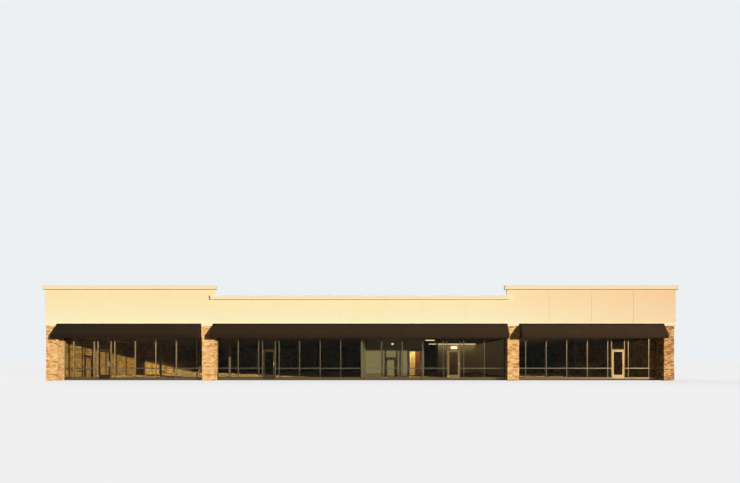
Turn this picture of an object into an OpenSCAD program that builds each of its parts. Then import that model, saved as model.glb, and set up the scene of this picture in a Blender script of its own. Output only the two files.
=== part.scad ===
// Single-storey row of shops with stone piers, awnings and glazed doors.
// Half of full size, in millimetres. The front faces -Y and +Z is up.
// Origin: middle of the footprint, at ground level.

/* [Storefront layout] */
// Spacing of the mullions, centre to centre
lite_pitch = 762; // [720:1:800]
// Lites across the middle bay
middle_lites = 14; // [12:2:16]
// Whole lites across each side bay
side_lites = 6; // [6:1:7]
// Part lite at each end of a side bay, pier to mullion centre
side_end_lite = 344; // [280:1:420]
// Lites between the centre line and each middle door
middle_door_lite = 4; // [3:1:4]
// Whole lites between the inner pier and a side bay's door
side_door_lite = 4; // [3:1:4]
// Width of a mullion's face
mullion_w = 25; // [20:1:32]
// Depth of a mullion
mullion_d = 57; // [50:1:62]
// Height of the sill member
sill_h = 60; // [40:1:80]
// Height of the guard rail's centre above the floor
guard_rail_h = 397; // [350:1:450]
// Height of the storefront above the floor
head_h = 1525; // [1460:1:1560]
// Thickness of the glass
glass_t = 12; // [8:1:14]
// Depth of the pockets that hold the glass
glass_bite = 6; // [4:1:8]

/* [Doors] */
// Clear width between the door jambs
door_open_w = 457; // [430:1:500]
// Clear height under the transom bar
door_open_h = 1074; // [1040:1:1120]
// Height of the transom bar
transom_h = 31; // [24:1:40]
// Gap round a leaf
door_gap = 7; // [6:0.5:9]
// Height of a threshold
threshold_h = 5; // [4:0.5:8]
// Slope at a threshold's front and back, from front to back
threshold_slope = 9; // [6:1:12]
// Thickness of a leaf
leaf_t = 22; // [20:1:26]
// Side of the stops that a leaf closes against
stop_w = 12; // [10:0.5:14]
// Gap between a closed leaf and its stops
stop_gap = 5; // [5:0.5:6]
// Width of a leaf's stiles
stile_w = 62; // [50:1:70]
// Height of a leaf's top rail
top_rail_h = 62; // [50:1:70]
// Height of a leaf's bottom rail
bottom_rail_h = 140; // [110:1:160]
// Height of the pull's middle above the floor
pull_h = 550; // [480:1:600]
// Length of the pull
pull_len = 150; // [120:1:200]
// Radius of the pull's bar
pull_r = 6; // [5:0.5:8]
// Distance from the leaf to the middle of the pull's bar
pull_out = 34; // [28:1:40]
// Radius of a hinge knuckle
knuckle_r = 7; // [6:0.5:8]
// Radius of a hinge pin
pin_r = 3; // [2.5:0.5:4]
// Height of a whole hinge
hinge_h = 50; // [40:1:60]
// Width of a hinge plate
hinge_plate_w = 18; // [14:1:22]
// Thickness of a hinge plate
hinge_plate_t = 3; // [2.5:0.5:4]

/* [Piers] */
// Width of an inner pier
inner_pier_w = 420; // [380:1:460]
// Width of an outer pier
outer_pier_w = 410; // [380:1:460]
// Depth of a pier
pier_depth = 500; // [495:1:560]
// Height of the stone above the floor
stone_h = 1940; // [1900:1:1990]
// Height of the ledge's underside above the floor
ledge_h = 390; // [340:1:440]
// Thickness of the ledge
ledge_t = 22; // [16:1:30]
// Projection of the ledge
ledge_out = 14; // [8:1:20]

/* [Stucco front] */
// Distance from the stone face back to the storefront
recess = 435; // [400:1:436]
// Thickness of the stucco front
fascia_t = 180; // [150:1:200]
// Projection of the stucco past the stone
stucco_out = 18; // [12:1:28]
// Height of the lower middle front above the floor
middle_wall_h = 2895; // [2800:1:2950]
// Height of the tall end fronts above the floor
tall_wall_h = 3265; // [3150:1:3400]
// Length of the tall front's return along the side
return_l = 1500; // [1000:1:2500]
// Height of the trim band
band_h = 100; // [90:1:130]
// Projection of the trim band past the stucco
band_out = 24; // [16:1:30]
// Height of a cornice
cornice_h = 140; // [120:1:160]
// Projection of a cornice past the stucco
cornice_out = 83; // [60:1:100]
// Height of the metal cap on a cornice
cap_h = 26; // [20:1:32]
// Projection of the metal cap past the cornice
cap_out = 7; // [4:1:10]
// Distance that the middle cornice laps onto the tall fronts
cornice_lap = 108; // [90:1:130]
// Width of a stucco joint
joint_w = 10; // [8:1:14]
// Depth of a stucco joint
joint_d = 6; // [4:1:8]
// Thickness of the soffit over the entrance recess
soffit_t = 25; // [20:1:30]

/* [Awnings] */
// Height of an awning's top edge above the floor
awning_top_h = 2012; // [2000:1:2030]
// Height of the fold above the floor
awning_fold_h = 1618; // [1600:1:1640]
// Height of the valance's hem above the floor
awning_hem_h = 1500; // [1490:1:1520]
// Projection of an awning
awning_out = 365; // [340:1:430]
// Gap between an awning's end and the pier beside it
awning_end_gap = 6; // [2:1:40]
// Thickness of the cover
cover_t = 4; // [3:0.5:5]
// Side of a frame tube
tube_w = 16; // [14:1:20]
// Height of the plates that hold a frame to the wall
bracket_h = 60; // [40:1:80]
// Distance from the soffit up to those plates
bracket_up = 25; // [15:1:40]

/* [Shell] */
// Depth of the building
building_depth = 15240; // [14000:1:16000]
// Thickness of the side and rear walls
wall_t = 125; // [100:1:150]
// Distance from the outer pier's side in to the side wall's face
side_inset = 25; // [15:1:40]
// Thickness of the floor slab
slab_t = 50; // [40:1:75]
// Height of the side and rear walls above the floor
parapet_h = 2550; // [2450:1:2700]
// Thickness of the wall coping
coping_t = 20; // [15:1:30]
// Overhang of the wall coping
coping_out = 15; // [10:1:20]
// Height of the roof's underside above the floor
roof_h = 2200; // [2150:1:2300]
// Thickness of the roof
roof_t = 60; // [50:1:80]
// Thickness of the ceiling
ceiling_t = 20; // [15:1:24]

/* [Inside] */
// Side of a column
column_w = 80; // [70:1:100]
// Spacing of the columns along the front
column_pitch = 3200; // [3000:1:3400]
// Spacing of the column rows from the storefront back
column_row_pitch = 5150; // [4600:1:5200]
// Thickness of the office partitions
partition_t = 60; // [50:1:80]
// Distance from the storefront back to the office partition
office_depth = 2850; // [2600:1:3100]
// Length of the office's back partition
office_w = 2475; // [2350:1:2600]
// Distance from the office doorway to the back partition's free end
office_door_in = 155; // [130:1:200]
// Width of the office doorway
office_door_w = 500; // [450:1:510]
// Height of the office doorway
office_door_h = 1067; // [1030:1:1100]
// Depth of the store room behind the office doorway
store_depth = 600; // [500:1:800]
// Width of the store room
store_w = 875; // [840:1:950]
// Distance from the storefront back to the shop's cross wall
cross_wall_depth = 7530; // [7000:1:8200]
// Length of the cross wall, from the shop partition to its free end
cross_wall_l = 2146; // [1900:1:2200]

/* [Hidden] */
$fn = 32;
// Clearance between a piece and its seat
seat = 0.3;
// Overshoot of a cut
eps = 1;

// Places along the front, from the centre line out
middle_half = middle_lites * lite_pitch / 2 + mullion_w / 2;
side_bay_w = side_lites * lite_pitch + 2 * side_end_lite;
side_x0 = middle_half + inner_pier_w;
side_x1 = side_x0 + side_bay_w;
half_length = side_x1 + outer_pier_w;
tall_x0 = middle_half - stucco_out;
stucco_x = half_length + stucco_out;
inner_x = half_length - side_inset - wall_t;
middle_door_x = (middle_door_lite + 0.5) * lite_pitch;
side_door_x = side_x0 + side_end_lite + (side_door_lite + 0.5) * lite_pitch;

// Places from front to back
stone_y = -building_depth / 2;
rear_y = building_depth / 2;
stucco_y = stone_y - stucco_out;
band_y = stucco_y - band_out;
fascia_back_y = stucco_y + fascia_t;
front_y = stone_y + recess;
frame_back_y = front_y + mullion_d;
pier_back_y = stone_y + pier_depth;
rear_inner_y = rear_y - wall_t;
return_y = stone_y + return_l;
office_y = front_y + office_depth;
office_back_y = office_y + partition_t;
cross_wall_y = front_y + cross_wall_depth;
glass_y = (front_y + frame_back_y) / 2;

// Heights above the ground
floor_z = slab_t;
head_z = floor_z + head_h;
soffit_z = head_z + soffit_t;
stone_z = floor_z + stone_h;
band_z = stone_z + band_h;
middle_z = floor_z + middle_wall_h;
tall_z = floor_z + tall_wall_h;
parapet_z = floor_z + parapet_h;
roof_z = floor_z + roof_h;
door_head_z = floor_z + door_open_h;
rail_z = floor_z + guard_rail_h - mullion_w / 2;

// Awning heights, and the cover's thickness measured down the slope's vertical
awning_top_z = floor_z + awning_top_h;
fold_z = floor_z + awning_fold_h;
hem_z = floor_z + awning_hem_h;
awning_y = band_y - awning_out;
slope_len = sqrt(pow(awning_out, 2) + pow(awning_top_z - fold_z, 2));
cover_drop = cover_t * slope_len / awning_out;
tube_drop = tube_w * slope_len / awning_out;

// A leaf and its hinge, measured from the middle of its doorway
leaf_w = door_open_w - 2 * door_gap;
leaf_z = floor_z + threshold_h + door_gap;
leaf_h = door_head_z - door_gap - leaf_z;
pivot_x = -door_open_w / 2 + door_gap / 2;
pivot_y = front_y - knuckle_r - 2;
hinge_zs = [leaf_z + 60, leaf_z + (leaf_h - hinge_h) / 2, leaf_z + leaf_h - hinge_h - 60];

// Doorways, in the order left, middle left, middle right, right
door_xs = [-side_door_x, -middle_door_x, middle_door_x, side_door_x];

// Mullion centres of each bay, pier to pier
middle_mullions = [for (k = [-middle_lites / 2 : middle_lites / 2]) k * lite_pitch];
right_mullions = concat(
    [side_x0 + mullion_w / 2],
    [for (k = [0 : side_lites]) side_x0 + side_end_lite + k * lite_pitch],
    [side_x1 - mullion_w / 2]
);
left_mullions = [for (k = [len(right_mullions) - 1 : -1 : 0]) -right_mullions[k]];

// Stucco joints stand over every second mullion
middle_joints = [for (k = [-middle_lites / 2 : middle_lites / 2])
    if (k % 2 != 0 && abs(k) < middle_lites / 2) k * lite_pitch];
side_joints = [for (k = [1 : 2 : side_lites - 1]) side_x0 + side_end_lite + k * lite_pitch];

// Box between two corners
module block(lo, hi) {
    translate(lo) cube(hi - lo);
}

// A profile in the Y-Z plane, drawn out along X
module along_x(x0, x1) {
    translate([x0, 0, 0]) rotate([90, 0, 90]) linear_extrude(x1 - x0) children();
}

// The same piece on the left for s = -1 and on the right for s = 1
module side(s) {
    if (s < 0) mirror([1, 0, 0]) children();
    else children();
}

module floor_slab() {
    color("#8f8a80")
        block([-inner_x, pier_back_y, 0], [inner_x, rear_inner_y, floor_z]);
    color("#8f8a80")
        for (bay = [[-side_x1, -side_x0], [-middle_half, middle_half], [side_x0, side_x1]])
            block([bay[0], front_y, 0], [bay[1], pier_back_y, floor_z]);
}

// Low under the tall front's return, and up to the parapet behind it
module side_wall(s) {
    color("#eadcb4") side(s) {
        block([inner_x, pier_back_y, 0], [inner_x + wall_t, rear_y, stone_z]);
        block([inner_x, return_y, stone_z - eps], [inner_x + wall_t, rear_y, parapet_z]);
    }
}

module rear_wall() {
    color("#eadcb4")
        block([-inner_x, rear_inner_y, 0], [inner_x, rear_y, parapet_z]);
}

module wall_copings() {
    color("#efe2bd") {
        for (s = [-1, 1]) side(s)
            block([inner_x - coping_out, return_y, parapet_z],
                  [inner_x + wall_t + coping_out, rear_y + coping_out, parapet_z + coping_t]);
        block([-inner_x, rear_inner_y - coping_out, parapet_z],
              [inner_x, rear_y + coping_out, parapet_z + coping_t]);
    }
}

module roof_deck() {
    color("#d8d6cf")
        block([-inner_x, fascia_back_y, roof_z], [inner_x, rear_inner_y, roof_z + roof_t]);
}

module ceiling() {
    color("#e6e3d8")
        block([-inner_x, pier_back_y, head_z], [inner_x, rear_inner_y, head_z + ceiling_t]);
}

module interior_columns() {
    rows = [1 : floor((rear_inner_y - front_y - column_w) / column_row_pitch)];
    half_count = floor((inner_x - column_w) / column_pitch);
    color("#c9bda2")
        for (row = rows, k = [-half_count : half_count])
            translate([k * column_pitch - column_w / 2,
                       front_y + row * column_row_pitch - column_w / 2, floor_z])
                cube([column_w, column_w, head_z - floor_z]);
}

module office_side_partition() {
    color("#8f875c")
        block([-partition_t / 2, frame_back_y, floor_z], [partition_t / 2, office_y, head_z]);
}

module office_back_partition() {
    door_x1 = office_w - office_door_in;
    color("#8f875c") difference() {
        block([-partition_t / 2, office_y, floor_z], [office_w, office_back_y, head_z]);
        block([door_x1 - office_door_w, office_y - eps, floor_z - eps],
              [door_x1, office_back_y + eps, floor_z + office_door_h]);
    }
}

// Three walls round a small room, open to the office through its doorway
module store_room_walls() {
    x1 = office_w - partition_t;
    x0 = x1 - store_w;
    y1 = office_back_y + store_depth;
    color("#d8c47c") difference() {
        block([x0 - partition_t, office_back_y, floor_z], [office_w, y1 + partition_t, head_z]);
        block([x0, office_back_y - eps, floor_z - eps], [x1, y1, head_z + eps]);
    }
}

// Runs back from the middle of the right inner pier and turns into the cross wall
module shop_partition() {
    x0 = middle_half + (inner_pier_w - partition_t) / 2;
    x1 = x0 + partition_t;
    color("#8f875c") {
        block([x0, pier_back_y, floor_z], [x1, cross_wall_y + partition_t, head_z]);
        block([x0 - cross_wall_l, cross_wall_y, floor_z], [x1, cross_wall_y + partition_t, head_z]);
    }
}

module pier(x0, x1) {
    color("#d9a866")
        block([x0, stone_y, 0], [x1, pier_back_y, stone_z]);
}

// A thin stone cap on three sides of each pier, stopped at the storefront
module pier_ledge(x0, x1) {
    z = floor_z + ledge_h;
    difference() {
        block([x0 - ledge_out, stone_y - ledge_out, z], [x1 + ledge_out, front_y, z + ledge_t]);
        block([x0, stone_y, z - eps], [x1, front_y + eps, z + ledge_t + eps]);
    }
}

module pier_ledges() {
    color("#ecd9b0")
        for (s = [-1, 1]) side(s) {
            pier_ledge(middle_half, side_x0);
            pier_ledge(side_x1, half_length);
        }
}

module joint_cuts(xs, z1) {
    for (x = xs)
        block([x - joint_w / 2, stucco_y - eps, band_z], [x + joint_w / 2, stucco_y + joint_d, z1 + eps]);
}

// The tall front stands on two piers, hangs between them and turns the corner
module side_fascia(s) {
    color("#f7e7ba") side(s) difference() {
        union() {
            block([tall_x0, stucco_y, stone_z], [stucco_x, fascia_back_y, tall_z]);
            block([side_x0, stucco_y, soffit_z], [side_x1, fascia_back_y, stone_z + eps]);
            block([inner_x, fascia_back_y - eps, stone_z], [stucco_x, return_y, tall_z]);
        }
        joint_cuts(side_joints, tall_z);
    }
}

module middle_fascia() {
    color("#f7e7ba") difference() {
        union() {
            block([-tall_x0, stucco_y, stone_z], [tall_x0, fascia_back_y, middle_z]);
            block([-middle_half, stucco_y, soffit_z], [middle_half, fascia_back_y, stone_z]);
        }
        joint_cuts(middle_joints, middle_z);
    }
}

module trim_band() {
    color("#fbeec6") {
        block([-stucco_x - band_out, band_y, stone_z], [stucco_x + band_out, stucco_y, band_z]);
        for (s = [-1, 1]) side(s)
            block([stucco_x, band_y, stone_z], [stucco_x + band_out, return_y, band_z]);
    }
}

// The body of a tall cornice for an overhang, between two heights
module side_cornice_layer(overhang, z0, z1) {
    block([tall_x0 - overhang, stucco_y - overhang, z0], [stucco_x + overhang, fascia_back_y, z1]);
    block([inner_x, stucco_y, z0], [stucco_x + overhang, return_y + overhang, z1]);
}

module side_cornice(s) {
    color("#f9eccb") side(s) {
        side_cornice_layer(cornice_out, tall_z, tall_z + cornice_h);
        side_cornice_layer(cornice_out + cap_out, tall_z + cornice_h - cap_h, tall_z + cornice_h);
    }
}

// The middle cornice's ends lap in front of the tall fronts
module middle_cornice_layer(overhang, z0, z1) {
    lap_x = tall_x0 + cornice_lap - cornice_out + overhang;
    block([-tall_x0, stucco_y - eps, z0], [tall_x0, fascia_back_y, z1]);
    block([-lap_x, stucco_y - overhang, z0], [lap_x, stucco_y, z1]);
}

module middle_cornice() {
    color("#f9eccb") {
        middle_cornice_layer(cornice_out, middle_z, middle_z + cornice_h);
        middle_cornice_layer(cornice_out + cap_out, middle_z + cornice_h - cap_h, middle_z + cornice_h);
    }
}

module entrance_soffits() {
    color("#d8c79c")
        for (bay = [[-side_x1, -side_x0], [-middle_half, middle_half], [side_x0, side_x1]])
            block([bay[0], stucco_y, head_z], [bay[1], pier_back_y, soffit_z]);
}

// The two ends of an awning over a bay
function awning_x0(bay) = bay[0] + awning_end_gap;
function awning_x1(bay) = bay[1] - awning_end_gap;

// A bent sheet with straight ends, open below and at the wall
module awning_cover(bay) {
    wall_y = band_y - seat;
    end_profile = [
        [wall_y, awning_top_z], [awning_y, fold_z], [awning_y, hem_z],
        [stucco_y - seat, hem_z], [stucco_y - seat, stone_z - seat], [wall_y, stone_z - seat]
    ];
    color("#3a2c1f") {
        along_x(awning_x0(bay), awning_x1(bay))
            polygon([
                [wall_y, awning_top_z], [awning_y, fold_z], [awning_y, hem_z],
                [awning_y + cover_t, hem_z], [awning_y + cover_t, fold_z - cover_drop + cover_t],
                [wall_y, awning_top_z - cover_drop]
            ]);
        along_x(awning_x0(bay), awning_x0(bay) + cover_t) polygon(end_profile);
        along_x(awning_x1(bay) - cover_t, awning_x1(bay)) polygon(end_profile);
    }
}

// One welded rib: wall post with its plate, rafter, front post and bottom strut
module awning_rib(x) {
    front = awning_y + cover_t + seat;
    top_z = awning_top_z - cover_drop - seat;
    fold_in_z = fold_z - cover_drop + cover_t - seat;
    bottom_z = hem_z + tube_w;
    translate([x, 0, 0]) {
        along_x(0, tube_w)
            polygon([
                [band_y, top_z], [front, fold_in_z],
                [front, fold_in_z - tube_drop], [band_y, top_z - tube_drop]
            ]);
        block([0, band_y - tube_w, bottom_z], [tube_w, band_y, top_z - tube_drop]);
        block([0, band_y - eps, soffit_z + bracket_up], [tube_w, stucco_y, soffit_z + bracket_up + bracket_h]);
        block([0, front, bottom_z], [tube_w, front + tube_w, fold_in_z - tube_w]);
        block([0, front, bottom_z], [tube_w, band_y, bottom_z + tube_w]);
    }
}

// Ribs joined by long bars at the wall and at the front
module awning_frame(bay) {
    x0 = awning_x0(bay) + cover_t + seat;
    x1 = awning_x1(bay) - cover_t - seat;
    ribs = round((x1 - x0) / lite_pitch);
    step = (x1 - x0 - tube_w) / ribs;
    front = awning_y + cover_t + seat;
    bottom_z = hem_z + tube_w;
    fold_bar_z = fold_z - cover_drop + cover_t - seat - 2 * tube_w;
    head_bar_z = awning_top_z - cover_drop - seat - tube_drop - tube_w;
    color("#b9b6ae") {
        for (k = [0 : ribs]) awning_rib(x0 + k * step);
        block([x0, band_y - tube_w, bottom_z], [x1, band_y, bottom_z + tube_w]);
        block([x0, band_y - tube_w, head_bar_z], [x1, band_y, head_bar_z + tube_w]);
        block([x0, front, bottom_z], [x1, front + tube_w, bottom_z + tube_w]);
        block([x0, front, fold_bar_z], [x1, front + tube_w, fold_bar_z + tube_w]);
    }
}

left_bay = [-side_x1, -side_x0];
middle_bay = [-middle_half, middle_half];
right_bay = [side_x0, side_x1];

// Uprights between two faces of a run, with the door jambs that end it
function uprights(mullions, x0, x1) = concat(
    [x0 + mullion_w / 2],
    [for (x = mullions) if (x > x0 + mullion_w && x < x1 - mullion_w) x],
    [x1 - mullion_w / 2]
);

// A pane between two places along the front, with its edges in the frame's pockets.
// The pocket is the same shape, grown all round by the clearance.
module pane(x0, x1, z0, z1, grow = 0) {
    reach = glass_bite + grow;
    half_t = glass_t / 2 + grow;
    block([x0 - reach, glass_y - half_t, z0 - reach], [x1 + reach, glass_y + half_t, z1 + reach]);
}

// The panes of a run, above and below the guard rail
module panes(mullions, x0, x1, grow = 0) {
    xs = uprights(mullions, x0, x1);
    for (k = [0 : len(xs) - 2]) {
        lite_x0 = xs[k] + mullion_w / 2;
        lite_x1 = xs[k + 1] - mullion_w / 2;
        pane(lite_x0, lite_x1, floor_z + sill_h, rail_z, grow);
        pane(lite_x0, lite_x1, rail_z + mullion_w, head_z - mullion_w, grow);
    }
}

// A run of storefront framing from x0 to x1, with pockets for its panes
module framing(mullions, x0, x1) {
    color("#b39870") difference() {
        union() {
            for (x = uprights(mullions, x0, x1))
                block([x - mullion_w / 2, front_y, floor_z], [x + mullion_w / 2, frame_back_y, head_z]);
            block([x0, front_y, floor_z], [x1, frame_back_y, floor_z + sill_h]);
            block([x0, front_y, rail_z], [x1, frame_back_y, rail_z + mullion_w]);
            block([x0, front_y, head_z - mullion_w], [x1, frame_back_y, head_z]);
        }
        panes(mullions, x0, x1, seat);
    }
}

module glazing(mullions, x0, x1) {
    color("#33302a", 0.6) panes(mullions, x0, x1);
}

// Where a run of framing starts and stops beside the doorways
jamb = door_open_w / 2;
left_outer_run = [-side_x1, -side_door_x - jamb];
left_inner_run = [-side_door_x + jamb, -side_x0];
middle_left_run = [-middle_half, -middle_door_x - jamb];
middle_centre_run = [-middle_door_x + jamb, middle_door_x - jamb];
middle_right_run = [middle_door_x + jamb, middle_half];
right_inner_run = [side_x0, side_door_x - jamb];
right_outer_run = [side_door_x + jamb, side_x1];

module door_transoms() {
    color("#b39870")
        for (x = door_xs) {
            block([x - jamb, front_y, door_head_z], [x + jamb, frame_back_y, door_head_z + transom_h]);
            block([x - jamb, front_y, head_z - mullion_w], [x + jamb, frame_back_y, head_z]);
        }
}

module transom_glass() {
    color("#33302a", 0.6)
        for (x = door_xs)
            block([x - jamb + seat, glass_y - glass_t / 2, door_head_z + transom_h + seat],
                  [x + jamb - seat, glass_y + glass_t / 2, head_z - mullion_w - seat]);
}

// A low metal saddle on the floor of each doorway
module door_thresholds() {
    top_z = floor_z + threshold_h;
    color("#b3aa9c")
        for (x = door_xs)
            along_x(x - jamb, x + jamb)
                polygon([
                    [front_y, floor_z], [frame_back_y, floor_z],
                    [frame_back_y - threshold_slope, top_z], [front_y + threshold_slope, top_z]
                ]);
}

// A stop up both jambs and across the head, just behind each closed leaf
module door_stops() {
    y0 = front_y + leaf_t + stop_gap;
    z0 = floor_z + threshold_h;
    color("#b39870")
        for (x = door_xs)
            difference() {
                block([x - jamb, y0, z0], [x + jamb, y0 + stop_w, door_head_z]);
                block([x - jamb + stop_w, y0 - eps, z0 - eps],
                      [x + jamb - stop_w, y0 + stop_w + eps, door_head_z - stop_w]);
            }
}

// Half of a butt hinge: a plate on one side of the pivot, and its knuckle
module hinge_half(z, h, plate_x0, plate_x1) {
    block([plate_x0, front_y - hinge_plate_t, z], [plate_x1, front_y, z + h]);
    translate([pivot_x, pivot_y, z]) cylinder(h = h, r = knuckle_r);
}

// The jamb's lower halves, with the pins that stand in them
module door_hinges() {
    half_h = hinge_h / 2;
    color("#8d8a83")
        for (x = door_xs, z = hinge_zs)
            translate([x, 0, 0]) {
                hinge_half(z, half_h, -jamb - hinge_plate_w, pivot_x);
                translate([pivot_x, pivot_y, z]) cylinder(h = hinge_h + pin_r, r = pin_r);
            }
}

// A pull on one face: bar and two posts, with dir = -1 outside and 1 inside
module door_pull(face_y, dir) {
    x = leaf_w / 2 - stile_w / 2;
    post_z = pull_len / 2 - 3 * pull_r;
    translate([x, face_y, floor_z + pull_h]) {
        translate([0, dir * pull_out, -pull_len / 2]) cylinder(h = pull_len, r = pull_r);
        for (z = [-post_z, post_z])
            translate([0, 0, z]) rotate([-90 * dir, 0, 0]) cylinder(h = pull_out, r = pull_r * 0.8);
    }
}

module door_leaf(x) {
    half_h = hinge_h / 2;
    color("#c4a87d") translate([x, 0, 0]) {
        difference() {
            union() {
                block([-leaf_w / 2, front_y, leaf_z], [leaf_w / 2, front_y + leaf_t, leaf_z + leaf_h]);
                for (z = hinge_zs)
                    hinge_half(z + half_h + seat, half_h - seat, pivot_x,
                               -leaf_w / 2 + hinge_plate_w);
            }
            block([-leaf_w / 2 + stile_w, front_y - eps, leaf_z + bottom_rail_h],
                  [leaf_w / 2 - stile_w, front_y + leaf_t + eps, leaf_z + leaf_h - top_rail_h]);
            for (z = hinge_zs)
                translate([pivot_x, pivot_y, z]) cylinder(h = 2 * hinge_h, r = pin_r + seat);
        }
        door_pull(front_y, -1);
        door_pull(front_y + leaf_t, 1);
    }
}

module door_glass(x) {
    mid_y = front_y + leaf_t / 2;
    color("#33302a", 0.6) translate([x, 0, 0])
        block([-leaf_w / 2 + stile_w + seat, mid_y - glass_t / 4, leaf_z + bottom_rail_h + seat],
              [leaf_w / 2 - stile_w - seat, mid_y + glass_t / 4, leaf_z + leaf_h - top_rail_h - seat]);
}

floor_slab();
side_wall(-1);  // left_wall
side_wall(1);  // right_wall
rear_wall();
wall_copings();
roof_deck();
ceiling();
interior_columns();
office_side_partition();
office_back_partition();
store_room_walls();
shop_partition();
pier(-half_length, -side_x1);  // left_pier_outer
pier(-side_x0, -middle_half);  // left_pier_inner
pier(middle_half, side_x0);  // right_pier_inner
pier(side_x1, half_length);  // right_pier_outer
pier_ledges();
side_fascia(-1);  // left_fascia
middle_fascia();
side_fascia(1);  // right_fascia
trim_band();
side_cornice(-1);  // left_cornice
middle_cornice();
side_cornice(1);  // right_cornice
entrance_soffits();
awning_frame(left_bay);  // left_awning_frame
awning_frame(middle_bay);  // middle_awning_frame
awning_frame(right_bay);  // right_awning_frame
awning_cover(left_bay);  // left_awning_cover
awning_cover(middle_bay);  // middle_awning_cover
awning_cover(right_bay);  // right_awning_cover
framing(left_mullions, left_outer_run[0], left_outer_run[1]);  // left_storefront_outer
framing(left_mullions, left_inner_run[0], left_inner_run[1]);  // left_storefront_inner
framing(middle_mullions, middle_left_run[0], middle_left_run[1]);  // middle_storefront_left
framing(middle_mullions, middle_centre_run[0], middle_centre_run[1]);  // middle_storefront_centre
framing(middle_mullions, middle_right_run[0], middle_right_run[1]);  // middle_storefront_right
framing(right_mullions, right_inner_run[0], right_inner_run[1]);  // right_storefront_inner
framing(right_mullions, right_outer_run[0], right_outer_run[1]);  // right_storefront_outer
glazing(left_mullions, left_outer_run[0], left_outer_run[1]);  // left_glass_outer
glazing(left_mullions, left_inner_run[0], left_inner_run[1]);  // left_glass_inner
glazing(middle_mullions, middle_left_run[0], middle_left_run[1]);  // middle_glass_left
glazing(middle_mullions, middle_centre_run[0], middle_centre_run[1]);  // middle_glass_centre
glazing(middle_mullions, middle_right_run[0], middle_right_run[1]);  // middle_glass_right
glazing(right_mullions, right_inner_run[0], right_inner_run[1]);  // right_glass_inner
glazing(right_mullions, right_outer_run[0], right_outer_run[1]);  // right_glass_outer
door_transoms();
transom_glass();
door_thresholds();
door_stops();
door_hinges();
door_leaf(door_xs[0]);  // left_door_leaf
door_leaf(door_xs[1]);  // middle_left_door_leaf
door_leaf(door_xs[2]);  // middle_right_door_leaf
door_leaf(door_xs[3]);  // right_door_leaf
door_glass(door_xs[0]);  // left_door_glass
door_glass(door_xs[1]);  // middle_left_door_glass
door_glass(door_xs[2]);  // middle_right_door_glass
door_glass(door_xs[3]);  // right_door_glass
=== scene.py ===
"""A single-storey row of shops at half of full size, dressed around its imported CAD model.
The front faces -Y, +Z is up, and every length is in metres."""

import math
import random
from functools import partial

import bmesh
import bpy
from mathutils import Matrix, Vector


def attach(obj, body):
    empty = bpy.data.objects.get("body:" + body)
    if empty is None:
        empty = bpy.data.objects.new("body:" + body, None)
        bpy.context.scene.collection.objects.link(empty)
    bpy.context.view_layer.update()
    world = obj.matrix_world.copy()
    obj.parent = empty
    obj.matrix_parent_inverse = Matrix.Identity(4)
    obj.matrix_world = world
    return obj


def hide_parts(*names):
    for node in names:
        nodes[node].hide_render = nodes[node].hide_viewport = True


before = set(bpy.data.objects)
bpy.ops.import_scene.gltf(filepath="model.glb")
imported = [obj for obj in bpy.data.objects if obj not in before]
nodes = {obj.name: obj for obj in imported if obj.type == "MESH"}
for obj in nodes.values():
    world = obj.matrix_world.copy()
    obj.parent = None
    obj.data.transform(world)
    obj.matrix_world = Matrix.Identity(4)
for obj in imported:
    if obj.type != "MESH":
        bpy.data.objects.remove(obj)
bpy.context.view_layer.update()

# Camera
# The photograph is taken from in front at eye height, a little right of the middle.
# The camera is level, so uprights stay upright, and its shift sets the horizon low.

IMAGE_W, IMAGE_H = 740, 483
CAMERA_AT = (1.255, -27.985, 0.715)
LENS_PX = 560
AXIS_PX = (395, 361)

lens = bpy.data.cameras.new("camera")
lens.sensor_width = 36.0
lens.lens = lens.sensor_width * LENS_PX / IMAGE_W
lens.shift_x = (IMAGE_W / 2 - AXIS_PX[0]) / IMAGE_W
lens.shift_y = (AXIS_PX[1] - IMAGE_H / 2) / IMAGE_W
lens.clip_end = 1000.0
camera = bpy.data.objects.new("camera", lens)
camera.location = CAMERA_AT
camera.rotation_euler = (math.radians(90), 0, 0)
bpy.context.scene.collection.objects.link(camera)
bpy.context.scene.camera = camera
bpy.context.scene.view_settings.view_transform = "Standard"

# Floor and light
# A plain pale studio floor, a key lamp low on the right where the sun stands, small enough
# to draw its shadows inside the shops, a wide soft lamp behind on the left, and an even fill.

FLOOR_SIZE = 700.0
FLOOR_LIFT = 0.77
KEY_TOWARDS = (0.83, -1.0, 0.102)
FILL_TOWARDS = (-0.45, 0.60, 0.66)


def colour(hex_code):
    """An sRGB hex colour as the linear colour that shaders take."""
    parts = [int(hex_code[k:k + 2], 16) / 255 for k in (1, 3, 5)]
    linear = [p / 12.92 if p <= 0.04045 else ((p + 0.055) / 1.055) ** 2.4 for p in parts]
    return (*linear, 1.0)


def add_node(tree, kind, links=None, stops=(), **settings):
    """Adds a node. Links are its inputs, by name or number: each is a plain value, a hex
    colour, another node's output, or another node, for its first output in use. Stops are a
    colour ramp's places and hex colours, and settings are the node's properties."""
    node = tree.nodes.new("ShaderNode" + kind)
    for name, value in settings.items():
        setattr(node, name, value)
    for name, value in (links or {}).items():
        if isinstance(value, bpy.types.Node):
            value = next(out for out in value.outputs if out.enabled)
        if isinstance(value, bpy.types.NodeSocket):
            tree.links.new(value, node.inputs[name])
        else:
            node.inputs[name].default_value = colour(value) if isinstance(value, str) else value
    if stops:
        ramp = node.color_ramp.elements
        ramp[0].position, ramp[1].position = stops[0][0], stops[-1][0]
        for position, _ in stops[1:-1]:
            ramp.new(position)
        for stop, (_, hex_code) in zip(ramp, stops):
            stop.color = colour(hex_code)
    return node


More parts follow.
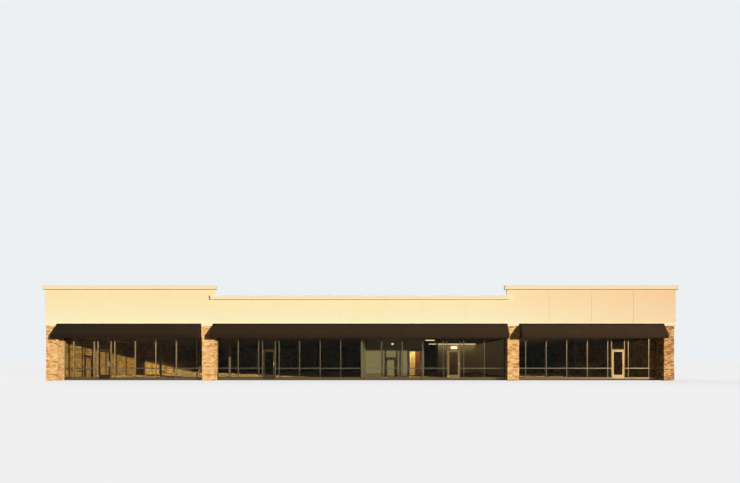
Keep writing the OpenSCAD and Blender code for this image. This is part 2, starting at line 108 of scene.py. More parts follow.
def new_finish(name, *members):
    """Makes a material, and gives it to CAD nodes in place of their plain one. What comes back
    is the function that adds its nodes, and the object coordinates."""
    material = bpy.data.materials.new(name)
    material.use_nodes = True
    material.node_tree.nodes.clear()
    for member in members:
        nodes[member].data.materials.clear()
        nodes[member].data.materials.append(material)
    add = partial(add_node, material.node_tree)
    return add, add("TexCoord").outputs["Object"]


def new_lamp(name, towards, strength, hex_code, degrees):
    """A distant lamp that shines from a direction, and is so many degrees wide."""
    light = bpy.data.lights.new(name, "SUN")
    light.energy = strength
    light.color = colour(hex_code)[:3]
    light.angle = math.radians(degrees)
    lamp = bpy.data.objects.new(name, light)
    lamp.rotation_euler = Vector(towards).to_track_quat("Z", "Y").to_euler()
    bpy.context.scene.collection.objects.link(lamp)


def new_piece(name, bm, *finishes, smooth=False):
    """Makes an object of a finished bmesh, with its place in its mesh and finishes by name."""
    mesh = bpy.data.meshes.new(name)
    bm.to_mesh(mesh)
    bm.free()
    if smooth:
        mesh.shade_smooth()
    for finish in finishes:
        mesh.materials.append(bpy.data.materials[finish])
    piece = bpy.data.objects.new(name, mesh)
    bpy.context.scene.collection.objects.link(piece)
    return piece


def seen_directly(add):
    """1 for the rays that show the background itself, straight, in gloss or through glass,
    and 0 for those that have lit a matt surface on their way."""
    path = add("LightPath")
    seen = path.outputs["Is Camera Ray"]
    for kind in ("Is Glossy Ray", "Is Transmission Ray"):
        seen = add("Math", {0: seen, 1: path.outputs[kind]}, operation="MAXIMUM")
    unlit = add("Math", {0: path.outputs["Diffuse Depth"], 1: 0.5}, operation="LESS_THAN")
    return add("Math", {0: seen, 1: unlit}, operation="MULTIPLY")


# Painted studio floor: matt, and lifted where it is looked at, so that it is pale beside
# the building and still keeps its shadow
add, _ = new_finish("matt_studio_floor")
matt = add("BsdfDiffuse", {"Color": "#6e6e6c"})
lift = add("Emission", {
    "Color": "#ffffff",
    "Strength": add("Math", {0: seen_directly(add), 1: FLOOR_LIFT}, operation="MULTIPLY")})
both = add("AddShader", {0: matt, 1: lift})
add("OutputMaterial", {"Surface": both})

bm = bmesh.new()
bmesh.ops.create_grid(bm, x_segments=1, y_segments=1, size=FLOOR_SIZE / 2)
floor = new_piece("studio_floor", bm, "matt_studio_floor")

world = bpy.data.worlds.new("studio")
world.use_nodes = True
world.node_tree.nodes.clear()
add = partial(add_node, world.node_tree)
seen = seen_directly(add)
fill = add("Background", {"Color": "#ffffff", "Strength": 0.09})
shown = add("Background", {"Color": "#eef2f5", "Strength": 0.98})
either = add("MixShader", {0: seen, 1: fill, 2: shown})
add("OutputWorld", {"Surface": either})
bpy.context.scene.world = world

new_lamp("key_lamp", KEY_TOWARDS, strength=3.72, hex_code="#fffaf2", degrees=0.7)
new_lamp("fill_lamp", FILL_TOWARDS, strength=2.2, hex_code="#f6f8ff", degrees=40.0)

# Floor slab
# A concrete slab cast on grade, screeded and left rough for each shop to finish, with saw
# cuts on the column grid. Dust lies on it and glows where a low sun comes in.

COLUMN_PITCH = 3.2
COLUMN_ROW_PITCH = 5.15
FRONT_Y = -7.185
CUT_HALF = 0.0015

# A colour mix takes its share at input 0 and its two colours at inputs 6 and 7
BLEND = {"data_type": "RGBA"}
OVERLAY = {"data_type": "RGBA", "blend_type": "OVERLAY"}


def grid_lines(add, half, *grid):
    """1 on thin lines, given as the distance along an axis, the first line and the pitch."""
    marked = 0.0
    for distance, first, pitch in grid:
        away = add("Math", {0: distance, 1: first}, operation="SUBTRACT")
        phase = add("Math", {0: away, 1: pitch / 2}, operation="PINGPONG")
        line = add("Math", {0: phase, 1: half}, operation="LESS_THAN")
        marked = add("Math", {0: marked, 1: line}, operation="MAXIMUM")
    return marked


add, place = new_finish("dusty_screeded_concrete", "floor_slab")
# Clouds of cement paste about 0.6 m across, and gravel that stands 4 mm proud, drawn at 12 mm
clouds = add("TexNoise", {"Vector": place, "Scale": 1 / 0.6, "Detail": 5.0})
gravel = add("TexNoise", {"Vector": place, "Scale": 1 / 0.012, "Detail": 2.0})
tone = add("ValToRGB", {"Fac": clouds}, stops=((0.35, "#806d42"), (0.68, "#a08951")))
# Saw cuts: 3 mm wide lines through the columns, both ways
x, y, _ = add("SeparateXYZ", {"Vector": place}).outputs
cut = grid_lines(add, CUT_HALF, (x, 0.0, COLUMN_PITCH), (y, FRONT_Y, COLUMN_ROW_PITCH))
cut_tone = add("Mix", {0: cut, 6: tone, 7: "#57503f"}, **BLEND)
gravel_tone = add("Mix", {0: 0.35, 6: cut_tone, 7: gravel}, **OVERLAY)
rough = add("MapRange", {
    "Value": clouds, "From Min": 0.3, "From Max": 0.7, "To Min": 0.7, "To Max": 0.9})
proud = add("Bump", {"Strength": 1.0, "Distance": 0.004, "Height": gravel})
paste = add("BsdfPrincipled", {
    "Base Color": gravel_tone, "Roughness": rough, "Specular IOR Level": 0.2, "Sheen Weight": 0.6,
    "Sheen Roughness": 0.35, "Sheen Tint": "#d6b26c", "Normal": proud})
add("OutputMaterial", {"Surface": paste})

# Side and rear walls
# Hollow concrete block laid in running bond with tooled joints, painted outside with a
# cream masonry paint. Below the ceiling the inner faces are bare, tan block.

BLOCK_L = 0.2032
BLOCK_H = 0.1016
JOINT_HALF = 0.0024
RAKED_HALF = 0.008
WALL_MIDDLE_X = 11.349
WALL_MIDDLE_Y = 7.5575
CEILING_Z = 1.575
PAINTED_SUN_FROM_Y = (-1.5, 1.0)
MULTIPLY = {"data_type": "RGBA", "blend_type": "MULTIPLY"}


def drawn_out(add, place, stretch, size, detail):
    """Noise of a size in metres, drawn out along the axes whose stretch is low, as grain is."""
    along = add("Mapping", {"Vector": place, "Scale": stretch})
    return add("TexNoise", {"Vector": along, "Scale": 1 / size, "Detail": detail})


def pitted(add, place, size, detail, strength, depth, **under):
    """The normal of a face with bumps of a size and depth in metres, over another normal."""
    bumps = add("TexNoise", {"Vector": place, "Scale": 1 / size, "Detail": detail})
    return add("Bump", {"Strength": strength, "Distance": depth, "Height": bumps, **under})


BLOCK_WALLS = (
    # name, the level axis it runs along, its two inner tones, nodes
    ("side_wall_block", "Y", "#a87e38", "#d2a24c", ("left_wall", "right_wall")),
    ("rear_wall_block", "X", "#70634a", "#8a7a5c", ("rear_wall",)),
)
for name, along, deep, pale, members in BLOCK_WALLS:
    add, place = new_finish(name, *members)
    x, y, z = add("SeparateXYZ", {"Vector": place}).outputs
    across = add("CombineXYZ", {"X": y if along == "Y" else x, "Y": z})
    # Courses of 203 x 102 mm, a full-size block of 16 x 8 inches halved, with 5 mm joints
    bond = {"Vector": across, "Scale": 1.0, "Brick Width": BLOCK_L, "Row Height": BLOCK_H}
    courses = add("TexBrick", {
        **bond, "Mortar Size": JOINT_HALF, "Mortar Smooth": 0.6, "Color1": (0.42, 0.42, 0.42, 1),
        "Color2": (0.58, 0.58, 0.58, 1), "Mortar": (0.3, 0.3, 0.3, 1)}, offset=0.5)
    # Inside, the joints are raked and the blocks vary: drawn 16 mm wide so that they show
    raked = add("TexBrick", {
        **bond, "Mortar Size": RAKED_HALF, "Mortar Smooth": 0.3, "Color1": (0.30, 0.30, 0.30, 1),
        "Color2": (0.72, 0.72, 0.72, 1), "Mortar": (0.08, 0.08, 0.08, 1)}, offset=0.5)
    weather = add("TexNoise", {"Vector": place, "Scale": 1 / 0.9, "Detail": 6.0})
    # Rain streaks: noise drawn out up the wall
    streaks = add("MapRange", {
        "Value": drawn_out(add, place, (5.0, 5.0, 0.35), 1.0, 4.0), "From Min": 0.5, "From Max": 0.75,
        "To Min": 0.0, "To Max": 0.2})
    paint = add("ValToRGB", {"Fac": weather}, stops=((0.3, "#ead6a6"), (0.7, "#f3e1b4")))
    streaked = add("Mix", {0: streaks, 6: paint, 7: "#c9b894"}, **MULTIPLY)
    # Splashing rain darkens the lowest half metre
    splash = add("MapRange", {
        "Value": z, "From Min": 0.0, "From Max": 0.45, "To Min": 0.4, "To Max": 0.0})
    outside = add("Mix", {0: splash, 6: streaked, 7: "#a89470"}, **MULTIPLY)
    coated = add("Mix", {0: 0.4, 6: outside, 7: courses}, **OVERLAY)
    bare = add("Mix", {0: weather, 6: deep, 7: pale}, **BLEND)
    # On the side walls the lowest courses toward the back are painted paler: painted sunlight, where the
    # low sun reaches them through the glass
    sunlit_far = add("MapRange", {"Value": y, "From Min": PAINTED_SUN_FROM_Y[0], "From Max": PAINTED_SUN_FROM_Y[1]})
    low_down = add("MapRange", {
        "Value": z, "From Min": 0.50, "From Max": 0.75,
        "To Min": 1.0 if along == "Y" else 0.0, "To Max": 0.0})
    painted_sun_share = add("Math", {0: sunlit_far, 1: low_down}, operation="MULTIPLY")
    painted_sun_block = add("Mix", {0: painted_sun_share, 6: bare, 7: "#f4c860"}, **BLEND)
    laid = add("Mix", {0: 0.85, 6: painted_sun_block, 7: raked}, **OVERLAY)
    # Faces on the room's side of the walls' middles, below the ceiling, are the bare ones
    room = 1.0
    reach = add("Math", {0: x}, operation="ABSOLUTE")
    for distance, limit in ((reach, WALL_MIDDLE_X), (y, WALL_MIDDLE_Y), (z, CEILING_Z)):
        inside = add("Math", {0: distance, 1: limit}, operation="LESS_THAN")
        room = add("Math", {0: room, 1: inside}, operation="MULTIPLY")
    body = add("Mix", {0: room, 6: coated, 7: laid}, **BLEND)
    joint_dent = add("Bump", {
        "Strength": 0.8, "Distance": 0.003, "Height": courses.outputs["Fac"]}, invert=True)
    pores = pitted(add, place, 0.005, 3.0, 0.35, 0.0012, Normal=joint_dent)
    coat = add("BsdfPrincipled", {"Base Color": body, "Roughness": 0.78, "Normal": pores})
    add("OutputMaterial", {"Surface": coat})

# Wall copings
# Prefinished steel sheet folded over the wall's top in 5 ft lengths, butted with a small
# gap over a cover plate. Baked enamel gives an even satin face with faint oil-canning.

COPING_LENGTH = 1.524
GAP_HALF = 0.002


def mottled(add, place, size, detail, deep, pale):
    """Two tones of one stuff, clouded together in patches of a size in metres."""
    patches = add("TexNoise", {"Vector": place, "Scale": 1 / size, "Detail": detail})
    return add("Mix", {0: patches, 6: deep, 7: pale}, **BLEND)


add, place = new_finish("enamelled_steel_coping", "wall_copings")
x, y, _ = add("SeparateXYZ", {"Vector": place}).outputs
gap = grid_lines(add, GAP_HALF, (x, 0.0, COPING_LENGTH), (y, 0.0, COPING_LENGTH))
enamel = mottled(add, place, 0.05, 5.0, "#e9d7aa", "#f3e4bc")
butted = add("Mix", {0: gap, 6: enamel, 7: "#7d6f52"}, **BLEND)
canning = pitted(add, place, 0.35, 1.0, 0.4, 0.002)
sheet_steel = add("BsdfPrincipled", {
    "Base Color": butted, "Roughness": 0.6, "Specular IOR Level": 0.25, "Normal": canning})
add("OutputMaterial", {"Surface": sheet_steel})

# Roof
# A single-ply membrane rolled out in 10 ft widths and welded at its laps. It is pale grey,
# with a darker welded edge every 1.52 m and ponding stains between.

ROLL_W = 1.524

add, place = new_finish("welded_roof_membrane", "roof_deck")
y = add("SeparateXYZ", {"Vector": place}).outputs["Y"]
phase = add("Math", {0: y, 1: ROLL_W / 2}, operation="PINGPONG")
weld = add("MapRange", {
    "Value": phase, "From Min": 0.006, "From Max": 0.012, "To Min": 1.0, "To Max": 0.0})
ponds = add("TexNoise", {"Vector": place, "Scale": 1 / 1.4, "Detail": 5.0, "Roughness": 0.6})
grime = add("TexNoise", {"Vector": place, "Scale": 1 / 0.06, "Detail": 4.0})
ply = add("ValToRGB", {"Fac": ponds}, stops=((0.36, "#cfccc3"), (0.52, "#d9d7cf")))
grimed = add("Mix", {0: 0.15, 6: ply, 7: grime}, **MULTIPLY)
welded = add("Mix", {0: weld, 6: grimed, 7: "#9a9890"}, **BLEND)
lip = add("Bump", {"Strength": 0.5, "Distance": 0.002, "Height": weld})
skin = add("BsdfPrincipled", {"Base Color": welded, "Roughness": 0.8, "Normal": lip})
add("OutputMaterial", {"Surface": skin})

# Ceiling
# Mineral-fibre tiles laid in a grid of white steel tees, 2 x 4 ft at full size. The tiles
# are pricked with small holes, which read as a fine grey grain.

TILE_L = 0.6096
TILE_W = 0.3048
TEE_HALF = 0.006

add, place = new_finish("mineral_fibre_tiles", "ceiling")
grid = add("TexBrick", {
    "Vector": place, "Scale": 1.0, "Brick Width": TILE_L, "Row Height": TILE_W,
    "Mortar Size": TEE_HALF, "Mortar Smooth": 0.0, "Color1": "#8f8872", "Color2": "#99927c",
    "Mortar": "#bab4a2"}, offset=0.0)
# Pricked holes are 1 mm in the real tile and are drawn at 6 mm
holes = add("TexVoronoi", {"Vector": place, "Scale": 1 / 0.006})
pricked = add("Mix", {0: 0.3, 6: grid, 7: holes}, **MULTIPLY)
tee = add("Bump", {"Strength": 0.6, "Distance": 0.003, "Height": grid.outputs["Fac"]})
fibre = add("BsdfPrincipled", {"Base Color": pricked, "Roughness": 0.9, "Normal": tee})
add("OutputMaterial", {"Surface": fibre})

# Columns
# Square steel posts boxed in gypsum board and rolled with an eggshell paint. The roller
# leaves a faint stipple, and trolleys scuff the lowest part.

add, place = new_finish("rolled_column_paint", "interior_columns")
scuffs = add("TexNoise", {"Vector": place, "Scale": 1 / 0.03, "Detail": 6.0})
height = add("SeparateXYZ", {"Vector": place}).outputs["Z"]
low_down = add("MapRange", {
    "Value": height, "From Min": 0.05, "From Max": 0.45, "To Min": 0.6, "To Max": 0.0})
scuffed = add("Math", {0: low_down, 1: scuffs}, operation="MULTIPLY")
paint = add("Mix", {0: scuffed, 6: "#8a7554", 7: "#5e4f39"}, **BLEND)
roller = pitted(add, place, 0.004, 2.0, 0.25, 0.0008)
eggshell = add("BsdfPrincipled", {"Base Color": paint, "Roughness": 0.55, "Normal": roller})
add("OutputMaterial", {"Surface": eggshell})

# Partitions
# Gypsum board on steel studs, taped and rolled with eggshell paint: khaki in the office,
# tan in the next shop and pale yellow in the store room. A dark rubber base runs along each.

BASE_TOP = 0.10
LINING_X = 2.125
LINING_Y = -3.70

PAINTS = (
    # name, pale colour, deep colour, nodes
    ("khaki_eggshell_board", "#888159", "#7c764f", ("office_side_partition", "office_back_partition")),
    ("tan_eggshell_board", "#efdcb4", "#e4d1a6", ("shop_partition",)),
    ("yellow_eggshell_board", "#f4e6b0", "#eedc9e", ("store_room_walls",)),
)
for name, pale, deep, members in PAINTS:
    add, place = new_finish(name, *members)
    x, y, z = add("SeparateXYZ", {"Vector": place}).outputs
    face = mottled(add, place, 0.8, 3.0, deep, pale)
    if members == ("store_room_walls",):
        # The right part of the store room's back wall is lined with stained plywood
        grain = drawn_out(add, place, (1.0, 1.0, 0.08), 0.012, 4.0)
        plywood = add("Mix", {0: grain, 6: "#64371f", 7: "#82502f"}, **BLEND)
        right = add("Math", {0: x, 1: LINING_X}, operation="GREATER_THAN")
        rear = add("Math", {0: y, 1: LINING_Y}, operation="GREATER_THAN")
        lined = add("Math", {0: right, 1: rear}, operation="MULTIPLY")
        face = add("Mix", {0: lined, 6: face, 7: plywood}, **BLEND)
    base = add("Math", {0: z, 1: BASE_TOP}, operation="LESS_THAN")
    based = add("Mix", {0: base, 6: face, 7: "#3a332a"}, **BLEND)
    roller = pitted(add, place, 0.004, 2.0, 0.25, 0.0008)
    coat = add("BsdfPrincipled", {"Base Color": based, "Roughness": 0.5, "Normal": roller})
    add("OutputMaterial", {"Surface": coat})

# Doorway casing
# Flat boards of dark-stained oak nailed round the office's doorway, on the face towards the
# street, and a lining down its left side that they lap. Each arris is worked to a small round.

OFFICE_Y = -4.335
CASING_Y = -4.349
LINING_BACK_Y = -4.270
CASING = (
    # left, right, front, back, foot, top
    (1.785, 1.868, CASING_Y, OFFICE_Y, 0.050, 1.117),
    (2.320, 2.390, CASING_Y, OFFICE_Y, 0.050, 1.117),
    (1.785, 2.390, CASING_Y, OFFICE_Y, 1.117, 1.205),
    (1.820, 1.862, OFFICE_Y, LINING_BACK_Y, 0.050, 1.117),
)
ARRIS_R = 0.002


def block(bm, middle, size, turn=Matrix()):
    """Adds a box of a size about its middle, and gives its vertices."""
    return bmesh.ops.create_cube(bm, size=1.0, matrix=Matrix.Translation(middle) @ turn
                                 @ Matrix.Diagonal((*size, 1)))["verts"]


def edges_of(verts):
    """The edges of some vertices, each once and in a fixed order."""
    return list(dict.fromkeys(edge for vert in verts for edge in vert.link_edges))


def ease(bm, edges, radius, segments=2):
    """Works edges to a small round."""
    bmesh.ops.bevel(bm, geom=edges, offset=radius, segments=segments, profile=0.5, material=-1,
                    affect="EDGES")


add, place = new_finish("stained_oak_casing")
# Oak grain lines are 1 mm and are drawn at 4 mm, long up the board
grain = drawn_out(add, place, (1.0, 1.0, 0.06), 0.004, 4.0)
stain = add("Mix", {0: grain, 6: "#1e140d", 7: "#3a281a"}, **BLEND)
open_grain = add("Bump", {"Strength": 0.3, "Distance": 0.0006, "Height": grain})
varnish = add("BsdfPrincipled", {"Base Color": stain, "Roughness": 0.45, "Normal": open_grain})
add("OutputMaterial", {"Surface": varnish})

bm = bmesh.new()
for x0, x1, y0, y1, z0, z1 in CASING:
    middle = ((x0 + x1) / 2, (y0 + y1) / 2, (z0 + z1) / 2)
    ease(bm, edges_of(block(bm, middle, (x1 - x0, y1 - y0, z1 - z0))), ARRIS_R)
casing = new_piece("office_doorway_casing", bm, "stained_oak_casing")
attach(casing, "building")

# Lights
# Pressed steel lights with opal acrylic covers, screwed to the ceiling and two to a wall.
# They are on in the photograph, and show through the glass as bright dashes.

LIGHT_DROP = 0.02
LIGHT_Z = CEILING_Z - LIGHT_DROP / 2
PRESSED_R = 0.010
LIGHTS = (
    # middle, size, 0 for a dim cover and 1 for the store room's bright one
    ((2.70, -4.94, LIGHT_Z), (0.36, 0.15, LIGHT_DROP), 0),
    ((3.54, 0.15, LIGHT_Z), (1.17, 0.12, LIGHT_DROP), 0),
    ((4.715, 0.15, LIGHT_Z), (1.17, 0.12, LIGHT_DROP), 0),
    ((4.236, 0.330, 1.384), (0.303, 0.03, 0.128), 0),
    ((1.148, -4.350, 1.433), (0.080, 0.03, 0.045), 0),
    ((1.98, -3.98, LIGHT_Z), (0.40, 0.28, LIGHT_DROP), 1),
)

for name, strength in (("dim_acrylic_cover", 1.8), ("bright_acrylic_cover", 29.0)):
    add, place = new_finish(name)
    # Opal acrylic over lamps glows evenly, a little less where its ribs are thick
    ribs = add("TexWave", {"Vector": place, "Scale": 1 / 0.01}, bands_direction="X")
    tone = add("Mix", {0: ribs.outputs["Fac"], 6: "#ffe9b8", 7: "#fff2d2"}, **BLEND)
    glow = add("BsdfPrincipled", {
        "Base Color": tone, "Roughness": 0.35, "Emission Color": tone, "Emission Strength": strength})
    add("OutputMaterial", {"Surface": glow})

bm = bmesh.new()
for middle, size, cover in LIGHTS:
    verts = block(bm, middle, size)
    for face in {f for v in verts for f in v.link_faces}:
        face.material_index = cover
    # The lower edges are rounded, as on a pressed cover
    lower = [e for e in edges_of(verts) if all(v.co.z < middle[2] for v in e.verts)]
    ease(bm, lower, PRESSED_R, segments=3)
lights = new_piece("shop_lights", bm, "dim_acrylic_cover", "bright_acrylic_cover")
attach(lights, "building")

# Stone piers
# Split ledgestone laid dry-stack over a mortared core: thin courses of buff and rust
# limestone, with bigger quoins turned round each corner. The face is split, not sawn.

PIER_BACK_Y = -7.120
STONE_Y = -7.620
STONE_TOP = 1.990
LEDGE_LOW, LEDGE_HIGH = 0.440, 0.462
SOFFIT_Z = 1.575
COURSE_H = 0.047
STONE_L = 0.105
STONE_DEEP = 0.032
CORE_INSET = 0.014
JOINT = 0.0012
TOUCH = 1e-5
COURSE_SPREAD = (0.65, 1.35)
STONE_SPREAD = (0.6, 1.5)
LONG_QUOIN = (0.11, 0.15)
SHORT_QUOIN = (0.05, 0.07)
TALL_COURSE, SPLIT_CHANCE, SPLIT_AT = 0.05, 0.4, (0.4, 0.6)
FACETS = ((0, 0.045), (1, 0.045), (2, 0.028))       # along x, y and z
FIRST_SEED = 410
TONE_SPREAD = 0.26
PROUD = (-0.002, 0.004)
RIM_SPLIT = (-0.004, -0.0010)
FACE_SPLIT = (-0.001, 0.003)
# Each pier's lengths below its ledge, up to the soffit and above it
STAGES = ((0.0, LEDGE_LOW), (LEDGE_HIGH, SOFFIT_Z), (SOFFIT_Z, STONE_TOP))
PIERS = (
    # name, left x, right x, stone on the left side above the soffit, and on the right side,
    # mean tone from 0, rust, to 1, pale buff, and how far its thinner stones stand back
    ("left_pier_outer", -11.4365, -11.0265, True, False, 0.60, 0.0),
    ("left_pier_inner", -5.7665, -5.3465, False, False, 0.60, 0.0),
    ("right_pier_inner", 5.3465, 5.7665, False, False, 0.55, 0.0),
    ("right_pier_outer", 11.0265, 11.4365, False, True, 0.20, 0.016),
)

add, place = new_finish("split_ledgestone")
# Each stone carries its own tone, and clouds and bedding lines run through it
own = add("Attribute", attribute_name="tone")
clouds = add("TexNoise", {"Vector": place, "Scale": 1 / 0.045, "Detail": 5.0, "Roughness": 0.65})
bedding = drawn_out(add, place, (0.25, 0.25, 1.0), 0.006, 3.0)
mixed = add("Math", {0: clouds, 1: 0.45, 2: own.outputs["Fac"]}, operation="MULTIPLY_ADD")
centred = add("Math", {0: mixed, 1: 0.45 / 2}, operation="SUBTRACT")
stone_tone = add("ValToRGB", {"Fac": centred}, stops=(
    (0.0, "#a8703c"), (0.22, "#cb9054"), (0.5, "#efb870"), (0.78, "#fbc985"), (1.0, "#ffdc98")))
veined = add("Mix", {0: 0.35, 6: stone_tone, 7: bedding}, data_type="RGBA", blend_type="SOFT_LIGHT")
grit = add("TexNoise", {"Vector": place, "Scale": 1 / 0.003, "Detail": 4.0, "Roughness": 0.7})
split = add("Bump", {"Strength": 0.6, "Distance": 0.003, "Height": clouds})
gritty = add("Bump", {"Strength": 0.4, "Distance": 0.001, "Height": grit, "Normal": split})
limestone = add("BsdfPrincipled", {"Base Color": veined, "Roughness": 0.88, "Normal": gritty})
add("OutputMaterial", {"Surface": limestone})

add, place = new_finish("pier_mortar")
bed = mottled(add, place, 0.004, 3.0, "#94703f", "#b48c56")
struck = add("BsdfPrincipled", {"Base Color": bed, "Roughness": 0.95})
add("OutputMaterial", {"Surface": struck})

scratch = bpy.data.meshes.new("scratch")


def shares(dice, total, size, spread):
    """Splits a length into random parts of about one size, and gives their two ends."""
    count = max(1, round(total / size))
    raw = [dice.uniform(*spread) for _ in range(count)]
    ends = [0.0]
    for part in raw:
        ends.append(ends[-1] + part * total / sum(raw))
    return list(zip(ends, ends[1:]))


def lay_stone(pier, dice, mean, back, low, high, outward):
    """Adds one stone between two corners. Outward is its exposed sides, as (axis, sign),
    and those are cut into a few facets and split rough, with their arrises knocked back."""
    stone = bmesh.new()
    layer = stone.verts.layers.float.new("tone")
    low, high = Vector(low), Vector(high)
    size = high - low
    block(stone, (low + high) / 2, size)
    for axis, step in FACETS:
        cuts = min(3, int(size[axis] / step))
        along = [e for e in stone.edges
                 if abs(e.verts[0].co[axis] - e.verts[1].co[axis]) > size[axis] * 0.9]
        if cuts:
            bmesh.ops.subdivide_edges(stone, edges=along, cuts=cuts, use_grid_fill=True)
    proud = dice.uniform(*PROUD)
    tone_value = dice.gauss(mean, TONE_SPREAD)
    for vert in stone.verts:
        vert[layer] = tone_value
        at = vert.co.copy()
        for axis, sign in outward:
            face = high[axis] if sign > 0 else low[axis]
            if abs(at[axis] - face) > TOUCH:
                continue
            rim = any(min(abs(at[a] - low[a]), abs(at[a] - high[a])) < TOUCH
                      for a in range(3) if a != axis)
            rough = dice.uniform(*(RIM_SPLIT if rim else FACE_SPLIT))
            vert.co[axis] += sign * (proud + rough - back)
    stone.to_mesh(scratch)
    stone.free()
    pier.from_mesh(scratch)


for number, (name, x0, x1, left_open, right_open, mean, back) in enumerate(PIERS):
    inset = CORE_INSET + back
    dice = random.Random(FIRST_SEED + number)
    pier = bmesh.new()
    pier.verts.layers.float.new("tone")
    lay = partial(lay_stone, pier, dice, mean, back)
    core = bmesh.new()
    for low_z, high_z in STAGES:
        left_out = left_open or low_z < SOFFIT_Z
        right_out = right_open or low_z < SOFFIT_Z
        for row, (z_a, z_b) in enumerate(shares(dice, high_z - low_z, COURSE_H, COURSE_SPREAD)):
            z_low = low_z + z_a + JOINT
            z_high = low_z + z_b - JOINT
            # Quoins turn the corner, long on the front and on the side by turns
            quoin = (SHORT_QUOIN, LONG_QUOIN) if (row + number) % 2 else (LONG_QUOIN, SHORT_QUOIN)
            across = []
            for edge, side_out, runs_on, sign in ((x0, left_out, left_open, -1),
                                                  (x1, right_out, right_open, 1)):
                q_front, q_side = (dice.uniform(*spread) for spread in quoin)
                inner_edge = edge - sign * q_front
                across.append(inner_edge)
                deep = q_side if side_out else STONE_DEEP
                lay((min(edge, inner_edge), STONE_Y, z_low),
                    (max(edge, inner_edge), STONE_Y + deep, z_high),
                    [(1, -1), (0, sign)] if side_out else [(1, -1)])
                if side_out:
                    # The outer side of an outer pier runs on to the back, and the others stop
                    # at the storefront
                    end_y = PIER_BACK_Y if runs_on else FRONT_Y
                    start_y = STONE_Y + q_side
                    for y_a, y_b in shares(dice, end_y - start_y, STONE_L, STONE_SPREAD):
                        lay((min(edge, edge - sign * STONE_DEEP), start_y + y_a + JOINT, z_low),
                            (max(edge, edge - sign * STONE_DEEP), start_y + y_b - JOINT, z_high),
                            [(0, sign)])
            for x_a, x_b in shares(dice, across[1] - across[0], STONE_L, STONE_SPREAD):
                lows = [z_low]
                # A tall course is split here and there into two thin ledges
                if z_high - z_low > TALL_COURSE and dice.random() < SPLIT_CHANCE:
                    lows.append(z_low + (z_high - z_low) * dice.uniform(*SPLIT_AT))
                lows.append(z_high + 2 * JOINT)
                for z_a, z_b in zip(lows, lows[1:]):
                    lay((across[0] + x_a + JOINT, STONE_Y, z_a),
                        (across[0] + x_b - JOINT, STONE_Y + STONE_DEEP, z_b - 2 * JOINT), [(1, -1)])
        # The core is flush at the ledge's bed and wherever the pier meets another piece
        for left, right, front_y, back_y in ((left_out, right_out, STONE_Y + inset, FRONT_Y),
                                             (left_open, right_open, FRONT_Y, PIER_BACK_Y)):
            low = Vector((x0 + (inset if left else 0.0), front_y, low_z))
            high = Vector((x1 - (inset if right else 0.0), back_y, high_z))
            block(core, (low + high) / 2, high - low)
    block(core, ((x0 + x1) / 2, (STONE_Y + PIER_BACK_Y) / 2, (LEDGE_LOW + LEDGE_HIGH) / 2),
          (x1 - x0, PIER_BACK_Y - STONE_Y, LEDGE_HIGH - LEDGE_LOW))
    for face in core.faces:
        face.material_index = 1
    core.to_mesh(scratch)
    core.free()
    pier.from_mesh(scratch)
    stones = new_piece(name + "_stones", pier, "split_ledgestone", "pier_mortar")
    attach(stones, "building")
    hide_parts(name)
bpy.data.meshes.remove(scratch)

# Pier ledges
# A thin cast-stone sill bedded round each pier at knee height. Cast stone is sand and
# cement, rammed and rubbed: an even buff with fine pits.

add, place = new_finish("rubbed_cast_stone", "pier_ledges")
buff = mottled(add, place, 0.15, 3.0, "#eec48a", "#fad8a4")
pits = pitted(add, place, 0.003, 3.0, 0.3, 0.001)
rubbed = add("BsdfPrincipled", {"Base Color": buff, "Roughness": 0.85, "Normal": pits})
add("OutputMaterial", {"Surface": rubbed})

# Stucco fronts
# Acrylic stucco over insulation board, floated with a sand finish and cut by shallow joints
# over every second mullion. It is a warm cream, with painted shade deepening it below the cornice
# and painted light from the ground paling it lower down.

STUCCO_LOW = 2.090
STUCCO_HIGH = 3.315

SAND_FINISHES = (
    # name, pale colour, deep colour, nodes
    ("sand_float_stucco", "#fef6cc", "#fde4ae", ("left_fascia", "middle_fascia", "right_fascia")),
    ("smooth_stucco_trim", "#fef6d0", "#fdf0c4", ("trim_band",)),
    ("stucco_cornice", "#fcf0cc", "#f9e8c0", ("left_cornice", "middle_cornice", "right_cornice")),
    # The soffits' deeper tan is painted shade under the recess
    ("soffit_stucco", "#c9b389", "#bca67c", ("entrance_soffits",)),
)
for name, pale, deep, members in SAND_FINISHES:
    add, place = new_finish(name, *members)
    x, _, z = add("SeparateXYZ", {"Vector": place}).outputs
    # Sand grains are 1 mm, drawn at 4 mm. Float marks are about 0.25 m across
    sand = add("TexNoise", {"Vector": place, "Scale": 1 / 0.004, "Detail": 3.0, "Roughness": 0.7})
    clouds = add("TexNoise", {"Vector": place, "Scale": 1 / 1.8, "Detail": 3.0})
    # Painted light and shade: paler toward the foot of each front, deeper toward its top
    lower = add("MapRange", {
        "Value": z, "From Min": STUCCO_LOW, "From Max": STUCCO_HIGH,
        "To Min": 0.75, "To Max": -0.05})
    painted_light_share = add("Math", {0: clouds, 1: 0.3, 2: lower}, operation="MULTIPLY_ADD")
    cream = add("Mix", {0: painted_light_share, 6: deep, 7: pale}, data_type="RGBA", clamp_factor=True)
    # Painted light: the right front's wall is painted warmer toward its right end, and its trim only a
    # little
    painted_right_warmth = add("MapRange", {
        "Value": x, "From Min": 4.0, "From Max": 11.5, "To Min": 0.0,
        "To Max": 1.0 if name == "sand_float_stucco" else 0.3})
    warmth_painted_cream = add("Mix", {0: painted_right_warmth, 6: cream, 7: "#fae6e2"}, **MULTIPLY)
    grained = add("Mix", {0: 0.04, 6: warmth_painted_cream, 7: sand}, **MULTIPLY)
    trowel = pitted(add, place, 0.25, 4.0, 0.10, 0.004)
    grainy = add("Bump", {"Strength": 0.35, "Distance": 0.001, "Height": sand, "Normal": trowel})
    render_coat = add("BsdfPrincipled", {"Base Color": grained, "Roughness": 0.9, "Normal": grainy})
    add("OutputMaterial", {"Surface": render_coat})
